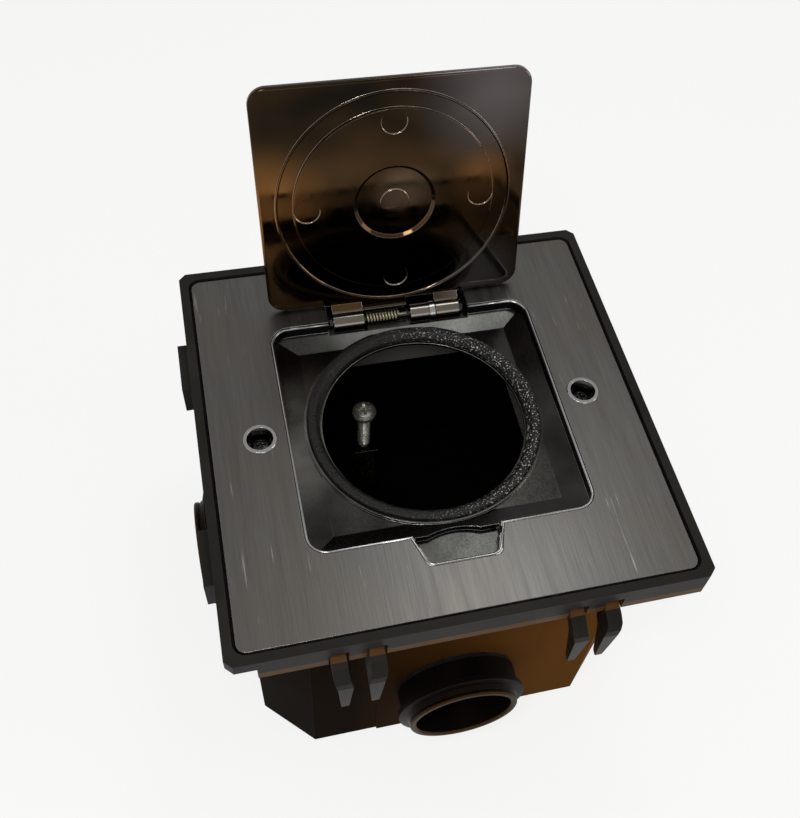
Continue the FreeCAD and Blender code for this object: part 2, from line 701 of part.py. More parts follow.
def lid_frame():
    lip = "plate_top - lip_drop"
    floor_low = "plate_top - tray_floor - tray_floor_thick"
    flange = rounded_box("frame_flange", FRAME_WIDE, "frame_long", FRAME_UNDER, UNDER_PLATE,
                         S["plate_corner"])
    tub = rounded_box("frame_tub", "tray_wide + 2*lip_thick", "tray_long + 2*lip_thick", floor_low, lip,
                      S["tray_corner"] + S["lip_thick"])
    well = middle_box("frame_well", "well_wide + 2*well_wall", "well_long + 2*well_wall",
                      "plate_top - well_depth",
                      floor_low + " + 0.5", y="ring_back")
    bay_mid = "(%s + %s)/2" % (BAY_BACK, BAY_FRONT)
    bay = middle_box("frame_bay", "bay_wide + 2*bay_wall", "bay_before + bay_behind + 2*bay_wall",
                     "plate_top - bay_depth - bay_wall", UNDER_PLATE, y=bay_mid)
    scoop = notch_block("frame_notch", "lip_thick", "plate_top - notch_depth - notch_wall", lip)
    ring = rod("frame_ring", SEAL_OUTER + " + 2*collar_ring_wall",
               "plate_top - collar_ring_top - (%s)" % floor_low,
               ("0", "ring_back", floor_low))

    walls = rounded_box("tray_walls", "tray_wide", "tray_long", "plate_top - tray_wall", TOP + " + 1",
                        S["tray_corner"])
    hollow = join("tray_hollow", walls, tapered_tray("tray_taper"))
    tray = cut("frame_tray", join("frame_solid", flange, tub, well, bay, scoop), hollow)
    standing = overlap("ring_standing", ring, middle_box("ring_limit", "tray_wide + lip_thick",
                                                         "tray_long + lip_thick", floor_low, TOP))

    seat = rod("seal_seat", SEAL_OUTER + " + 2*seal_slack", "seal_seat",
               ("0", "ring_back", "plate_top - seal_seat"))
    hole = rod("ring_hole", SEAL_INNER + " - 2*ring_lip", "well_depth",
               ("0", "ring_back", "plate_top - well_depth"))
    inside = middle_box("well_inside", "well_wide", "well_long", "plate_top - well_depth - 1", floor_low,
                        y="ring_back")
    bay_in = middle_box("bay_inside", "bay_wide", "bay_before + bay_behind", "plate_top - bay_depth",
                        TOP + " + 1",
                        y=bay_mid)
    notch_in = notch_block("notch_inside", "0", "plate_top - notch_depth", TOP + " + 1")
    arc = rod("notch_arc", "2*notch_arc", "notch_depth",
              ("0", "-(tray_long/2 - notch_bite + notch_arc)", "plate_top - notch_depth"))
    bite = overlap("notch_bite", arc, middle_box("notch_strip", "notch_wide", "2*notch_bite + 2",
                                                 "plate_top - notch_depth", TOP + " + 1",
                                                 y="-tray_long/2"))
    studs = rods("frame_stud_hole", "stud + 2*hole_slack", corners("stud_across", "stud_along"),
                 FRAME_UNDER + " - 1", UNDER_PLATE + " + 1")
    whole = cut("frame_cut", join("frame_ringed", tray, standing), seat, hole, inside, bay_in, notch_in,
                bite, *studs)

    knuckle_long = "frame_knuckle_to - frame_knuckle_from"
    knuckle = rod("frame_knuckle", "frame_knuckle", knuckle_long, ("frame_knuckle_from",) + PIN[1:], "X")
    foot = middle_box("frame_foot", knuckle_long, "0.7*frame_knuckle", "plate_top - bay_depth - 0.5",
                      "plate_top - hinge_down", "(frame_knuckle_from + frame_knuckle_to)/2", "hinge_back")
    bore = rod("frame_pin_bore", "pin_wide", knuckle_long + " + 2",
               ("frame_knuckle_from - 1",) + PIN[1:], "X")
    hinged = cut("frame_hinged", join("frame_whole", whole, knuckle, foot), bore)
    node("lid_frame", clean("frame_clean", hinged), "chrome")


def ring_seal():
    """Rubber ring in the frame's seat: rounded on top, with its inner face sloping into the opening."""
    outer, inner = SEAL_OUTER + "/2", SEAL_INNER + "/2"
    top = "seal_seat - seal_top"
    profile = [(outer, "0"), (outer, top), (inner + " + 1.2", top), (inner, "0.25*seal_seat"),
               (inner, "0")]
    ring = spun("seal", profile, ("0", "ring_back", "plate_top - seal_seat"))
    node("ring_seal", soften("seal_rounded", ring, S["seal_round"],
                             level(S["plate_top"] - S["seal_top"])), "rubber")


# ---- hinge: pin, thrust washer, clip and torsion spring

def hinge_pieces():
    head_in = "knuckle_left_from - side_play - pin_head_thick"
    end = "knuckle_right_to + side_play + clip_thick + 0.6"
    shaft = rod("pin_shaft", "pin_wide", "%s - (%s)" % (end, head_in), (head_in,) + PIN[1:], "X")
    head = rod("pin_head", "pin_head", "pin_head_thick", (head_in,) + PIN[1:], "X")
    groove_at = ("knuckle_right_to + side_play",) + PIN[1:]
    groove = cut("pin_groove", rod("groove_outer", "pin_wide + 1", "clip_thick", groove_at, "X"),
                 rod("groove_core", "0.76*pin_wide", "clip_thick", groove_at, "X"))
    node("hinge_pin", cut("pin_cut", join("pin_solid", shaft, head), groove), "steel")

    clip = rod("clip_disc", "clip_wide", "clip_thick", groove_at, "X")
    eye = rod("clip_eye", "0.76*pin_wide", "clip_thick", groove_at, "X")
    gap = middle_box("clip_gap", "clip_thick + 2", "0.6*pin_wide", "plate_top - hinge_down",
                     "plate_top - hinge_down + clip_wide", "knuckle_right_to + side_play + clip_thick/2",
                     "hinge_back")
    node("hinge_clip", cut("clip_cut", clip, eye, gap), "steel")

    washer_at = ("frame_knuckle_to",) + PIN[1:]
    washer = cut("washer_cut", rod("washer_disc", "washer_wide", "washer_thick", washer_at, "X"),
                 rod("washer_eye", "pin_wide + 2*pin_slack", "washer_thick", washer_at, "X"))
    node("hinge_washer", washer, "chrome")


def torsion_spring():
    """Coil round the pin, with one leg on the bay floor and the other under the lid's cover."""
    radius = S["spring_mean"] / 2
    wire = S["spring_wire"] / 2
    long = S["spring_turns"] * S["spring_pitch"]
    start = S["knuckle_left_to"] + S["side_play"] + wire
    helix = Part.makeHelix(S["spring_pitch"], long, radius)
    disc = Part.Wire([Part.makeCircle(wire, Vector(radius, 0, 0), Y)])
    turns = Part.Wire(helix.Edges).makePipeShell([disc], True, True)
    last = math.radians(360 * S["spring_turns"])
    end = Vector(radius * math.cos(last), radius * math.sin(last), long)
    bite = 0.3
    leg_wire = wire - 0.03
    low_leg = Part.makeCylinder(leg_wire, S["spring_front_leg"] + bite,
                                Vector(radius, -S["spring_front_leg"], 0), Y)
    elbow = Part.makeSphere(wire + 0.02, end)
    high_leg = Part.makeCylinder(leg_wire, S["spring_side_leg"], end, Z)
    spring = doc.addObject("Part::Feature", "spring_shape")
    spring.Shape = turns.fuse([low_leg, elbow, high_leg])
    spring.Placement = Placement(Vector(start, pin_centre.y, pin_centre.z), ALONG["X"])
    node("torsion_spring", spring, "spring")


# ---- lid: drawn shut, then turned to the open stop

def opened(label, thing, material):
    thing.Placement = OPENED
    node(label, thing, material)


def lid():
    mid = LID_BACK + " - lid_long/2"
    skin_under = "plate_top - skin_thick"
    under = S["plate_top"] - S["lid_thick"]
    blank = rounded_box("lid_blank", LID_WIDE, "lid_long", "plate_top - lid_thick", skin_under,
                        S["lid_corner"], y=mid)
    plate = soften("lid_plate", blank, S["lid_round"], level(under))
    centre = ("0", "ring_back")
    low = "plate_top - lid_thick"

    def disc(name, wide, down, thick, at=centre):
        return rod(name, wide, thick, at + ("%s - (%s)" % (low, down),))

    ridge = cut("ridge_ring", disc("ridge_rim", RIDGE, "ridge_high", "ridge_high + 0.3"),
                disc("ridge_core", RIDGE + " - 2*ridge_wide", "ridge_high + 1", "ridge_high + 2"))
    ridge = soften("lid_ridge", ridge, S["ridge_round"], level(under - S["ridge_high"]))
    pad = disc("lid_pad", "disc_wide", "disc_high", "disc_high + 0.3")
    pad = soften("lid_pad_round", pad, S["disc_round"], level(under - S["disc_high"]))
    dish = doc.addObject("Part::Cone", "lid_dish")
    bind(dish, Radius1="dish_wide/2", Radius2="dish_wide/2 - dish_slope", Height="dish_deep")
    place(dish, centre + (low + " - disc_high",))
    hub = disc("lid_hub", "hub_wide", "disc_high - dish_deep + hub_high", "hub_high + 0.3")
    dimples = []
    for number in range(4):
        x = "dimple_circle/2 * cos(%d)" % (90 * number)
        y = "ring_back + dimple_circle/2 * sin(%d)" % (90 * number)
        dimples.append(disc("dimple_%d" % number, "dimple_wide", "disc_high + 1", "1 + dimple_deep",
                            (x, y)))

    barrels = []
    left = ("knuckle_left_from", "knuckle_left_to")
    right = ("frame_knuckle_to + washer_thick + side_play", "knuckle_right_to")
    for name, (start, end) in (("left", left), ("right", right)):
        barrels.append(rod("knuckle_" + name, "knuckle", "%s - (%s)" % (end, start), (start,) + PIN[1:],
                           "X"))
        barrels.append(hinge_arm("arm_" + name, start, end, "plate_top - hinge_down"))
    cover_long = "cover_to - knuckle_left_to + 0.5"
    cover_at = ("knuckle_left_to - 0.5",) + PIN[1:]
    tube = cut("cover_tube", rod("cover_outside", "cover_outer", cover_long, cover_at, "X"),
               rod("cover_bore", "cover_inner", cover_long, cover_at, "X"))
    upper = overlap("cover_upper", tube, box("cover_half",
                                             ("knuckle_left_to - 1", "hinge_back - cover_outer",
                                                             "plate_top - hinge_down + 0.4"),
                                             ("cover_to - knuckle_left_to + 2", "2*cover_outer",
                                              "cover_outer")))
    web = hinge_arm("cover_web", "knuckle_left_to - 0.5", "cover_to", "plate_top - hinge_down + 1.5")
    web = cut("cover_web_cut", web, rod("cover_clear", "cover_inner", cover_long + " + 2",
                                        ("knuckle_left_to - 1.5",) + PIN[1:], "X"))
    body = join("lid_join", plate, ridge, pad, *barrels, upper, web)
    bore = rod("lid_pin_bore", "pin_wide + 2*pin_slack", "knuckle_right_to - knuckle_left_from + 2",
               ("knuckle_left_from - 1",) + PIN[1:], "X")
    sunk = cut("lid_sunk", body, bore, dish, *dimples)
    opened("lid", clean("lid_whole", join("lid_hubbed", sunk, hub)), "chrome")

    skin = rounded_box("skin_blank", LID_WIDE + " - 2*skin_inset", "lid_long - 2*skin_inset", skin_under,
                       TOP,
                       S["lid_corner"] - S["skin_inset"], y=mid)
    opened("lid_skin", soften("skin_bevel", skin, S["plate_bevel"], level(S["plate_top"]),
                              "Part::Chamfer"), "plate")


def hinge_arm(name, start, end, low):
    """Web from the rear edge of the shut lid to the top of a hinge barrel."""
    body = doc.addObject("PartDesign::Body", name + "_body")
    skin_under = "plate_top - skin_thick - 0.1"
    points = [(LID_BACK + " - 2.2", "plate_top - lid_thick + 0.2"), (LID_BACK, "plate_top - lid_thick"),
              ("hinge_back - knuckle/2 + 0.3", low), ("hinge_back", low), ("hinge_back", skin_under),
              (LID_BACK + " - 2.2", skin_under)]
    sketch = outline(body, name + "_side", "YZ_Plane", points, start)
    padded = body.newObject("PartDesign::Pad", name + "_pad")
    padded.Profile = sketch
    bind(padded, Length="%s - (%s)" % (end, start))
    body.Tip = padded
    return body


# ---- plate screws, their cups and inserts

def screw_cup(name, x, y):
    rim, tube, bore = "cup_wide/2", "cup_tube/2", "cup_bore/2"
    profile = [(tube, "-(cup_depth + cup_floor)"), (tube, "-plate_thick"), (tube, "0"), (rim, "0"),
               ("%s - 0.2" % rim, "cup_proud"), ("%s + 0.55" % bore, "cup_proud"), (bore, "-0.9"),
               (bore, "-cup_depth"), ("plate_screw/2 + hole_slack", "-cup_depth"),
               ("plate_screw/2 + hole_slack", "-(cup_depth + cup_floor)")]
    return spun(name, profile, (x, y, TOP))


def plate_fixings():
    seat = "plate_top - cup_depth"
    cups, screws, inserts = [], [], []
    for number, (x, y) in enumerate(plate_screw_places()):
        cups.append(screw_cup("cup_%d" % number, x, y))
        screws.append(pan_screw("plate_screw_%d" % number, "plate_screw", "plate_screw_head",
                                "plate_screw_head_thick", "plate_screw_long", (x, y, seat)))
        bore = "plate_screw/2 + pin_slack"
        inserts.append(spun("insert_%d" % number,
                            [(bore, "-insert_long"), ("insert_wide/2", "-insert_long"),
                                                   ("insert_wide/2", "0"), (bore, "0")],
                            (x, y, POST_TOP)))
    node("screw_cups", join("cups_all", *cups), "chrome")
    node("plate_screws", join("plate_screws_all", *screws), "zinc")
    node("plate_inserts", join("inserts_all", *inserts), "brass")


def plate_studs():
    places = corners("stud_across", "stud_along")
    studs = rods("stud", "stud", places, UNDER_PLATE + " - stud_long", UNDER_PLATE)
    node("plate_studs", join("studs_all", *studs), "steel")
    washers, nuts = [], []
    for number, (x, y) in enumerate(places):
        low = FRAME_UNDER + " - stud_washer_thick"
        ring = rod("stud_washer_%d_disc" % number, "stud_washer", "stud_washer_thick", (x, y, low))
        eye = rod("stud_washer_%d_eye" % number, "stud", "stud_washer_thick", (x, y, low))
        washers.append(cut("stud_washer_%d" % number, ring, eye))
        nuts.append(hex_nut("stud_nut_%d" % number, "stud_nut_flats", "stud_nut_thick", "stud",
                            (x, y, low + " - stud_nut_thick")))
    node("stud_washers", join("washers_all", *washers), "zinc")
    node("stud_nuts", join("nuts_all", *nuts), "zinc")


# ---- earth terminal: post, screw and clamp washer

def earth_terminal():
    x, y = "-earth_left", "earth_back"
    post = rod("earth_post_rod", "earth_post", "earth_post_up - box_floor", (x, y, "box_floor"))
    bore = rod("earth_post_bore", "earth_screw", "earth_screw_grip",
               (x, y, "earth_post_up - earth_screw_grip"))
    node("earth_post", cut("earth_post_cut", post, bore), "brass")
    seat = "earth_post_up + earth_screw_stand"
    node("earth_screw", pan_screw("earth_screw_solid", "earth_screw", "earth_screw_head",
                                  "earth_screw_head_thick",
                                  "earth_screw_stand + earth_screw_grip", (x, y, seat)), "zinc")
    washer = middle_box("earth_washer_block", "earth_washer", "earth_washer", "earth_post_up",
                        "earth_post_up + earth_washer_thick", x, y)
    eye = rod("earth_washer_eye", "earth_screw", "earth_washer_thick", (x, y, "earth_post_up"))
    node("earth_washer", cut("earth_washer_cut", washer, eye), "zinc")


# ---- conduit adapters, each with a seal outside the wall and a lock nut inside

def adapter(side, at, turn):
    """Stepped adapter about Z; its zero lies on the outer face of the wall pad."""
    bore, thread = "spout_bore/2", "spout_thread/2"
    barrel, ring, sleeve = "spout_barrel/2", "spout_ring/2", "spout_sleeve/2"
    reach = "spout_reach - pad_thick"
    ring_from = "spout_ring_from"
    ring_to = "spout_ring_from + spout_ring_long"
    profile = [(bore, "-(spout_tail + pad_thick)"), (thread, "-(spout_tail + pad_thick)"),
               (thread, "seal_thick"),
               (barrel, "seal_thick"), (barrel, ring_from), (ring, "%s + 0.3" % ring_from),
               (ring, ring_to),
               ("%s + 0.5" % sleeve, "%s + 0.6" % ring_to), ("%s - 0.3" % sleeve, "%s - 1.6" % reach),
               (sleeve, "%s - 1.2" % reach), (sleeve, "%s - 0.3" % reach), ("%s - 0.3" % sleeve, reach),
               ("%s + 0.5" % bore, reach), (bore, "%s - 0.5" % reach)]
    node("conduit_adapter_" + side, spun("adapter_" + side, profile, at, turn), "box")
    seal = spun("adapter_seal_" + side,
                [("spout_thread/2 + spout_slack", "0"), ("spout_barrel/2 - 0.2", "0"),
                 ("spout_barrel/2 - 0.2", "seal_thick"), ("spout_thread/2 + spout_slack", "seal_thick")],
                at, turn)
    node("adapter_washer_" + side, seal, "rubber")
    inside = "-(box_wall + pad_thick)"
    nut = spun("adapter_nut_" + side,
               [(thread, "%s - lock_nut_thick" % inside),
                ("lock_nut/2 - 0.6", "%s - lock_nut_thick" % inside),
                ("lock_nut/2", "%s - lock_nut_thick + 0.6" % inside), ("lock_nut/2", inside),
                (thread, inside)],
               at, turn)
    node("lock_nut_" + side, nut, "box")


def conduit_adapters():
    adapter("front", ("0", "-(box_long/2 + pad_thick)", "spout_up"), Rotation(X, 90))
    adapter("left", ("-(box_wide/2 + pad_thick)", "0", "spout_up"), Rotation(Y, -90))


face_plate()
mounting_collar()
plate_gasket()
collar_screws()
back_box()
lid_frame()
ring_seal()
hinge_pieces()
torsion_spring()
lid()
plate_fixings()
plate_studs()
earth_terminal()
conduit_adapters()
doc.recompute()

for thing in doc.Objects:
    for state in thing.State:
        if state in ("Invalid", "Error"):
            raise RuntimeError("%s did not compute: %s" % (thing.Name, state))
os.makedirs("parts", exist_ok=True)
for label, thing, material in NODES:
    shape = thing.Shape
    if shape.isNull() or not shape.isValid() or not shape.Solids:
        raise RuntimeError("%s has no valid solid" % label)
    shape.exportStep("parts/%s.step" % label)
    print("%-24s %-8s solids %2d  volume %9.1f mm3" % (label, material, len(shape.Solids), shape.Volume))
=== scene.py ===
import math
import bpy
import bmesh
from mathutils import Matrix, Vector


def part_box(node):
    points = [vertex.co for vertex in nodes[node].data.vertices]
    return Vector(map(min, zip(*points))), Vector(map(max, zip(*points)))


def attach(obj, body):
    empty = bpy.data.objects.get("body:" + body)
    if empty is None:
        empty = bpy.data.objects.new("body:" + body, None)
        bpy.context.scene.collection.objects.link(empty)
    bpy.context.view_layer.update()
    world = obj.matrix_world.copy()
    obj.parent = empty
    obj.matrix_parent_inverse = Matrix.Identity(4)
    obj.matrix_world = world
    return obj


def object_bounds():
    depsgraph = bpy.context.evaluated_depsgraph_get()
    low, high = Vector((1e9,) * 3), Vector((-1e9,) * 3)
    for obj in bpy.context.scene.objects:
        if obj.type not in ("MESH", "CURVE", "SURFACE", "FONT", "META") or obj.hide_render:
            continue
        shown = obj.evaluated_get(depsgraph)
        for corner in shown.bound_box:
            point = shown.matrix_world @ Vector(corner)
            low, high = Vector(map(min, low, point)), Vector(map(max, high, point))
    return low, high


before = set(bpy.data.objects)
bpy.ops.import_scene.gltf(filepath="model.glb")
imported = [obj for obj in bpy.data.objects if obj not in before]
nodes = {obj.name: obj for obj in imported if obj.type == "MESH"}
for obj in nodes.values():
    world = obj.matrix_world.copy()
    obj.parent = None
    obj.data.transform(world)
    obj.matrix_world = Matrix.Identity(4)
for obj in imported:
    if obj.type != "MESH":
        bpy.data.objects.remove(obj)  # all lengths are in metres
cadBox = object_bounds()
plateLow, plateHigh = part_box("face_plate")
plateTop = plateHigh.z
lidLow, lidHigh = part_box("lid")
clipLow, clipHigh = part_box("hinge_clip")
print("frame loaded,", len(nodes), "nodes")


def shade(owner, kind, **settings):  # adds a shader node to a material or to the world
    node = owner.node_tree.nodes.new("ShaderNode" + kind)
    for key, value in settings.items():
        setattr(node, key, value)
    return node


def wire(owner, outSocket, inSocket):
    owner.node_tree.links.new(outSocket, inSocket)


def startMaterial(name, look):  # a material with one main shader, its plain sockets set from the look
    material = bpy.data.materials.new(name)
    material.use_nodes = True
    shader = material.node_tree.nodes["Principled BSDF"]
    shader.inputs["Base Color"].default_value = (*look["colour"], 1.0)
    shader.inputs["Metallic"].default_value = look.get("metal", 0.0)
    shader.inputs["Roughness"].default_value = look["rough"]
    shader.inputs["Specular IOR Level"].default_value = look.get("shine", 0.5)
    if "shineTint" in look:
        shader.inputs["Specular Tint"].default_value = (*look["shineTint"], 1.0)
    return material, shader


def reckon(owner, operation, *terms):  # a maths node whose terms are sockets or plain numbers
    node = shade(owner, "Math", operation=operation)
    for term, socket in zip(terms, node.inputs):
        if isinstance(term, float):
            socket.default_value = term
        else:
            wire(owner, term, socket)
    return node.outputs["Value"]


def times(owner, first, second):
    return reckon(owner, "MULTIPLY", first, second)


def rangeOf(owner, value, start, end, low=0.0, high=1.0, **settings):  # start to end becomes low to high
    ranged = shade(owner, "MapRange", **settings)
    ends = {"From Min": start, "From Max": end, "To Min": low, "To Max": high}
    for name, number in ends.items():
        ranged.inputs[name].default_value = number
    wire(owner, value, ranged.inputs["Value"])
    return ranged.outputs["Result"]


noiseMiddle = {"low": 0.3, "high": 0.7}  # where most of a noise's values lie


def spread(material, noise, low, high):  # stretches the middle of a noise over low to high
    return rangeOf(material, noise, noiseMiddle["low"], noiseMiddle["high"], low, high)


def placeOf(material):  # the shaded point in the object's own metres
    return shade(material, "TexCoord").outputs["Object"]


def placeAlong(material, axis):
    split = shade(material, "SeparateXYZ")
    wire(material, placeOf(material), split.inputs["Vector"])
    return split.outputs[axis]


def noiseAt(material, scale, detail=3.0, stretch=(1.0, 1.0, 1.0)):
    fit = shade(material, "Mapping")
    fit.inputs["Scale"].default_value = stretch
    noise = shade(material, "TexNoise")
    noise.inputs["Scale"].default_value = scale
    noise.inputs["Detail"].default_value = detail
    wire(material, placeOf(material), fit.inputs["Vector"])
    wire(material, fit.outputs["Vector"], noise.inputs["Vector"])
    return noise.outputs["Fac"]


def blendColour(material, factor, first, second):
    mixed = shade(material, "MixRGB")
    mixed.inputs["Color1"].default_value = (*first, 1.0)
    mixed.inputs["Color2"].default_value = (*second, 1.0)
    wire(material, factor, mixed.inputs["Fac"])
    return mixed.outputs["Color"]


def over(material, factor, under, colour):  # lays a plain colour over a linked one
    mixed = shade(material, "MixRGB")
    mixed.inputs["Color2"].default_value = (*colour, 1.0)
    wire(material, factor, mixed.inputs["Fac"])
    wire(material, under, mixed.inputs["Color1"])
    return mixed.outputs["Color"]


def bumpFrom(material, shader, height, strength, depth, under=None):
    bump = shade(material, "Bump")
    bump.inputs["Strength"].default_value = strength
    bump.inputs["Distance"].default_value = depth
    wire(material, height, bump.inputs["Height"])
    if under is not None:
        wire(material, under, bump.inputs["Normal"])
    wire(material, bump.outputs["Normal"], shader.inputs["Normal"])
    return bump.outputs["Normal"]


def unevenRough(material, shader, noise, look):  # roughness that wanders over the look's span
    least, most = look["roughSpan"]
    wire(material, spread(material, noise, look["rough"] * least, look["rough"] * most),
         shader.inputs["Roughness"])


edgeSense = {"samples": 6, "flat": 0.985, "sharp": 0.82}  # how far normals agree on a flat, on an edge


def edgeLine(material, radius):  # softened normal along sharp edges, and a mask that is 1 on them, where highlights are painted
    edge = shade(material, "Bevel", samples=edgeSense["samples"])
    edge.inputs["Radius"].default_value = radius
    face = shade(material, "NewGeometry")
    agree = shade(material, "VectorMath", operation="DOT_PRODUCT")
    wire(material, edge.outputs["Normal"], agree.inputs[0])
    wire(material, face.outputs["Normal"], agree.inputs[1])
    mask = rangeOf(material, agree.outputs["Value"], edgeSense["flat"], edgeSense["sharp"])
    return edge.outputs["Normal"], mask


def acrossX(material, start, end):  # 0 at one x, 1 at another
    return rangeOf(material, placeAlong(material, "X"), start, end)


def below(material, drop, soft):  # 1 under a level measured down from the plate's top
    return rangeOf(material, placeAlong(material, "Z"), plateTop - drop, plateTop - drop - soft)


def above(material, drop, soft):  # 1 over a level measured down from the plate's top
    return rangeOf(material, placeAlong(material, "Z"), plateTop - drop, plateTop - drop + soft)


def nearPin(material, reach, soft):  # 1 close to the hinge's axis, 0 away from it
    middle = (clipLow + clipHigh) / 2
    flat = shade(material, "VectorMath", operation="MULTIPLY")
    flat.inputs[1].default_value = (0.0, 1.0, 1.0)
    wire(material, placeOf(material), flat.inputs[0])
    far = shade(material, "VectorMath", operation="DISTANCE")
    far.inputs[1].default_value = (0.0, middle.y, middle.z)
    wire(material, flat.outputs["Vector"], far.inputs[0])
    return rangeOf(material, far.outputs["Value"], reach + soft, reach)


def nearPoint(material, centre, reach, breakUp):  # fades from 1 at a point to 0 at its reach, unevenly
    far = shade(material, "VectorMath", operation="DISTANCE")
    far.inputs[1].default_value = centre
    wire(material, placeOf(material), far.inputs[0])
    near = rangeOf(material, far.outputs["Value"], reach, 0.0, interpolation_type="SMOOTHSTEP")
    return times(material, near, breakUp)


def withinBox(material, low, high):  # 1 between two corners, 0 outside them
    inner = None
    for axis, name in enumerate("XYZ"):
        middle = (low[axis] + high[axis]) / 2
        half = (high[axis] - low[axis]) / 2
        near = reckon(material, "COMPARE", placeAlong(material, name), middle, half)
        inner = near if inner is None else times(material, inner, near)
    return inner


plateFinish = {"colour": (0.075, 0.073, 0.068), "metal": 1.0, "rough": 0.33, "roughSpan": (0.88, 1.12),
               "darkLine": (0.060, 0.057, 0.053), "paleLine": (0.084, 0.082, 0.078),
               "lineScale": 1900.0, "lineLong": 0.035, "lineDepth": 0.00004, "lineStrength": 0.35,
               "broadScale": 475.0, "broadLong": 0.06, "broadShare": 0.45,
               "smudge": (0.074, 0.066, 0.056), "smudgeScale": 38.0, "smudgeShare": 0.7,
               "scratch": (0.24, 0.24, 0.24), "scratchScale": 60.0, "scratchThin": 14.0,
               "scratchFrom": 0.70, "scratchTo": 0.80, "scratchShare": 0.5,
               "edge": 0.0002, "gleam": (0.34, 0.335, 0.32)}


def brushedPlate():  # fine brush lines that run front to back, and up the open lid
    look = plateFinish
    material, shader = startMaterial("brushedPlate", look)
    fine = noiseAt(material, look["lineScale"], 3.0, (1.0, look["lineLong"], look["lineLong"]))
    broad = noiseAt(material, look["broadScale"], 3.0, (1.0, look["broadLong"], look["broadLong"]))
    smudge = noiseAt(material, look["smudgeScale"], 3.0)
    scratch = noiseAt(material, look["scratchScale"], 2.0, (look["scratchThin"], 1.0, 1.0))
    fineShare = times(material, fine, 1.0 - look["broadShare"])
    tone = reckon(material, "MULTIPLY_ADD", broad, look["broadShare"], fineShare)
    steel = blendColour(material, spread(material, tone, 0.0, 1.0), look["darkLine"], look["paleLine"])
    smudged = over(material, spread(material, smudge, 0.0, look["smudgeShare"]), steel, look["smudge"])
    few = rangeOf(material, scratch, look["scratchFrom"], look["scratchTo"], 0.0, look["scratchShare"])
    marked = over(material, few, smudged, look["scratch"])
    edge, mask = edgeLine(material, look["edge"])
    # painted highlight along the sharp edges
    wire(material, over(material, mask, marked, look["gleam"]), shader.inputs["Base Color"])
    unevenRough(material, shader, broad, look)
    bumpFrom(material, shader, fine, look["lineStrength"], look["lineDepth"], edge)
    return material


mirrorFinish = {"colour": (0.05, 0.03, 0.015), "metal": 1.0, "rough": 0.06, "roughSpan": (0.6, 2.0),
                "smearScale": 220.0, "smearStretch": (1.0, 0.4, 0.4),
                "warm": (0.058, 0.032, 0.014), "dark": (0.011, 0.0085, 0.006),
                "patchScale": 26.0, "patchStretch": (1.0, 1.0, 1.5), "tintLeast": 0.7,
                "barrel": (0.10, 0.088, 0.074), "barrelReach": 0.0034, "barrelSoft": 0.0006,
                "waveScale": 60.0, "waveDepth": 0.00006, "waveStrength": 0.25,
                "edge": 0.00022, "gleam": (0.62, 0.54, 0.45), "gleamLeast": 0.25}
tints = [  # painted reflections and highlights on the lid's inner face, placed from the middle of the lid
    {"at": (-0.037, 0.0006, 0.0030), "reach": 0.024, "colour": (0.22, 0.096, 0.028)},
    {"at": (0.028, 0.0066, 0.0330), "reach": 0.026, "colour": (0.110, 0.098, 0.098)},
    {"at": (0.025, 0.0016, 0.0080), "reach": 0.012, "colour": (0.150, 0.068, 0.022)},
    {"at": (0.004, 0.0006, 0.0050), "reach": 0.012, "colour": (0.095, 0.062, 0.040)},
    {"at": (0.026, -0.0054, -0.0250), "reach": 0.018, "colour": (0.130, 0.120, 0.110)},
    {"at": (0.002, 0.0006, 0.0045), "reach": 0.011, "colour": (0.150, 0.098, 0.062)},
]


def darkMirror():  # plated casting of the lid: dark and smooth, with painted warm and pale reflections
    look = mirrorFinish
    material, shader = startMaterial("darkMirror", look)
    patch = noiseAt(material, look["patchScale"], 2.0, look["patchStretch"])
    wave = noiseAt(material, look["waveScale"], 2.0)
    smear = noiseAt(material, look["smearScale"], 5.0, look["smearStretch"])
    # random dark and warm patches: painted reflections on the plated face
    shaded = blendColour(material, spread(material, patch, 0.0, 1.0), look["dark"], look["warm"])
    breakUp = spread(material, patch, look["tintLeast"], 1.0)
    lidMiddle = (lidLow + lidHigh) / 2
    for tint in tints:
        spot = nearPoint(material, lidMiddle + Vector(tint["at"]), tint["reach"], breakUp)
        shaded = over(material, spot, shaded, tint["colour"])
    edge, mask = edgeLine(material, look["edge"])
    # painted highlight along the edges, broken up by the smear noise
    broken = times(material, mask, spread(material, smear, look["gleamLeast"], 1.0))
    lined = over(material, broken, shaded, look["gleam"])
    # painted highlight on the hinge barrels, lighter near the pin's axis
    barrel = nearPin(material, look["barrelReach"], look["barrelSoft"])
    wire(material, over(material, barrel, lined, look["barrel"]), shader.inputs["Base Color"])
    unevenRough(material, shader, smear, look)
    bumpFrom(material, shader, wave, look["waveStrength"], look["waveDepth"], edge)
    return material


trayFinish = {"colour": (0.031, 0.030, 0.027), "second": (0.013, 0.0127, 0.0115), "patchScale": 70.0,
              "metal": 1.0, "dullMetal": 0.35, "rough": 0.17, "roughSpan": (0.7, 1.3),
              "lip": (0.11, 0.11, 0.105), "lipDepth": 0.0005, "lipSoft": 0.0002,
              "barrel": (0.12, 0.105, 0.095), "barrelReach": 0.0032, "barrelSoft": 0.0004,
              "well": (0.16, 0.15, 0.135), "wellTop": 0.0068, "wellSoft": 0.0006,
              "hazy": (0.115, 0.112, 0.100), "hazyIn": (0.008, 0.002, -0.004),
              "hazyReach": 0.029, "hazyLeast": 0.35,
              "grainScale": 1500.0, "grainDepth": 0.00001, "grainStrength": 0.2,
              "edge": 0.00025, "gleam": (0.36, 0.35, 0.33), "gleamLeast": 0.15}


